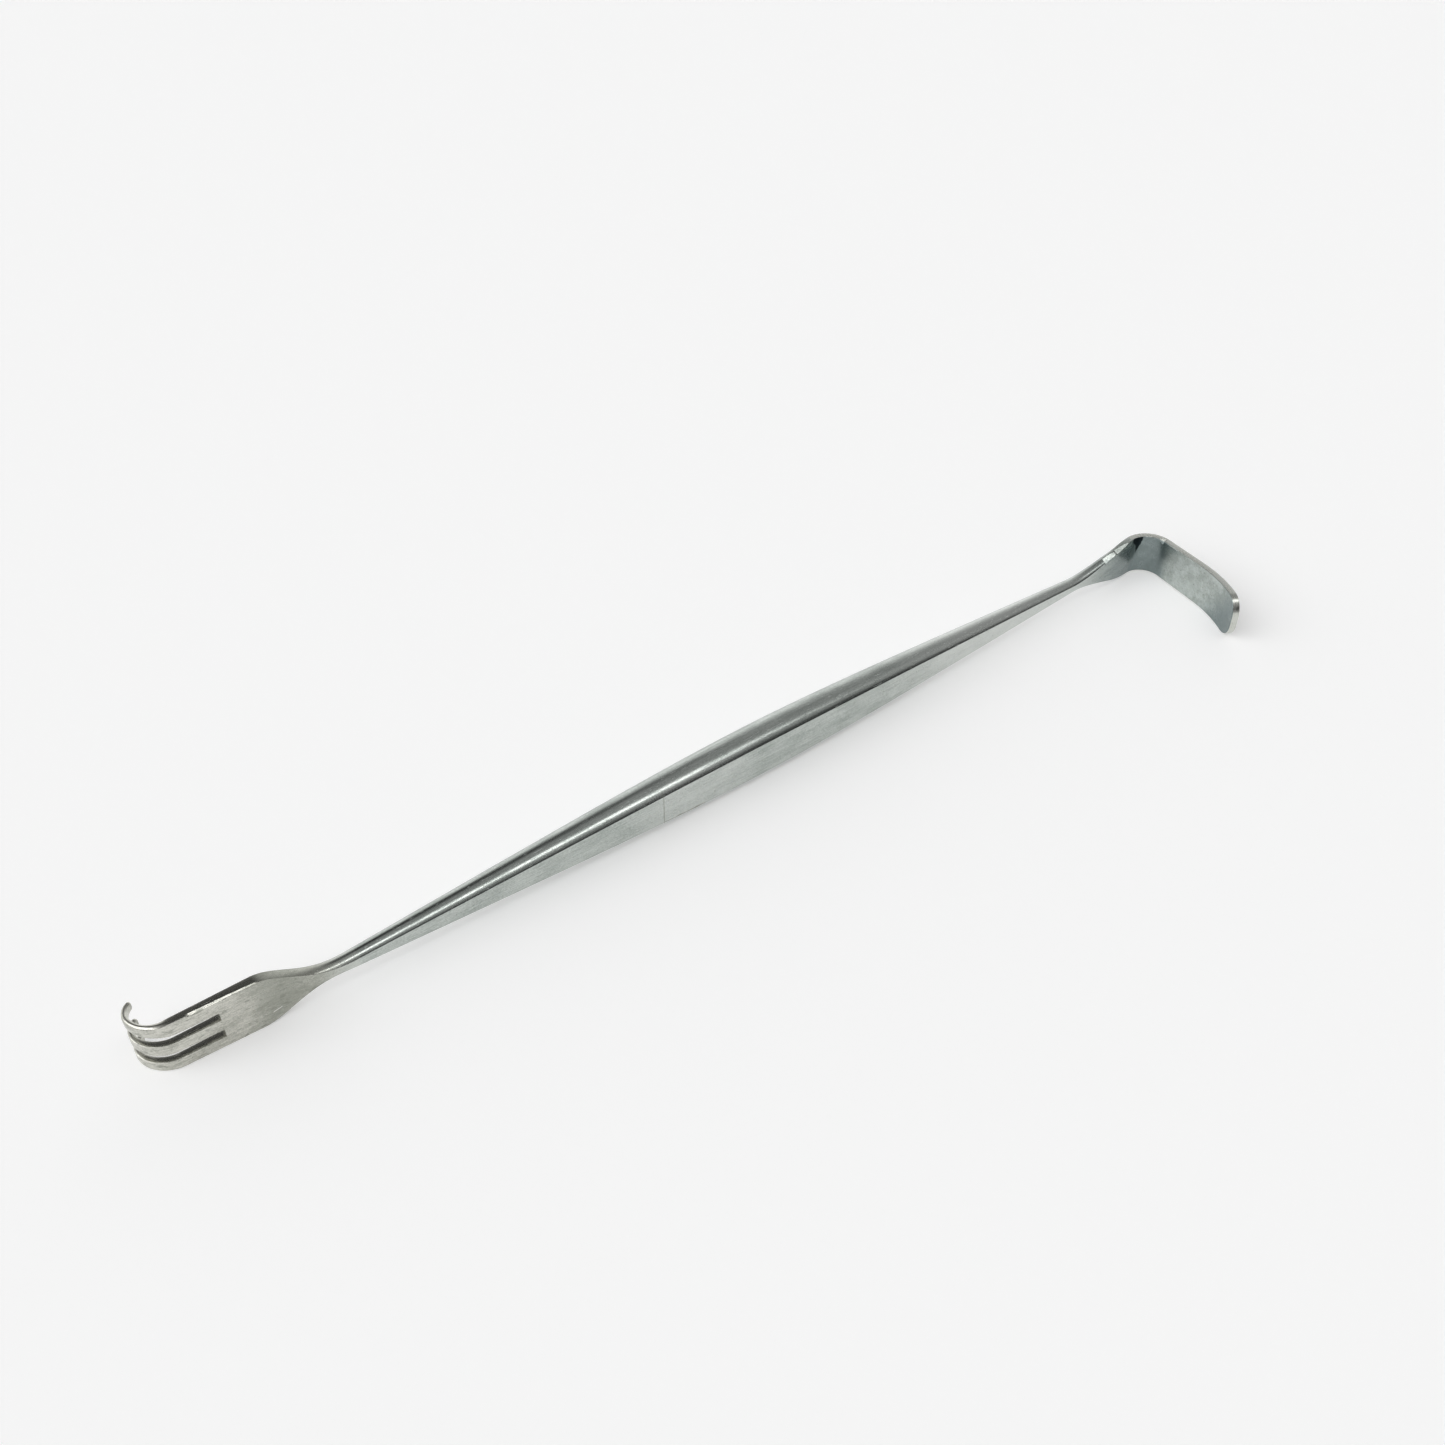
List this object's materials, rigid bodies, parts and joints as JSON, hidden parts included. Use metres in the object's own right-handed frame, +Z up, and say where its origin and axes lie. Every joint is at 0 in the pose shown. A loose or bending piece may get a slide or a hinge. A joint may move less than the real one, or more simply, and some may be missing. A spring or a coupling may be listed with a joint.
{
  "type": "hand retractor",
  "caption": "Slim steel hand retractor: a slotted palm with curled prongs at one end, a right-angled flat blade at the other, and a flat-sided handle that tapers both ways.",
  "frame": {"origin": "middle of the footprint, on the surface that the instrument lies on", "axes": "+X along the handle from the prongs to the blade, +Y to the side that the prongs curl to, +Z up as it lies on its side"},
  "size_m": [0.16, 0.027, 0.0075],
  "materials": {
    "steel_satin": "satin brushed stainless steel with fine scratches along the handle"
  },
  "bodies": {
    "root": {"handle": "steel_satin", "rake_neck": "steel_satin", "rake_palm": "steel_satin", "prong_upper": "steel_satin", "prong_middle": "steel_satin", "prong_lower": "steel_satin", "blade_neck": "steel_satin", "blade": "steel_satin"}
  },
  "joints": []
}
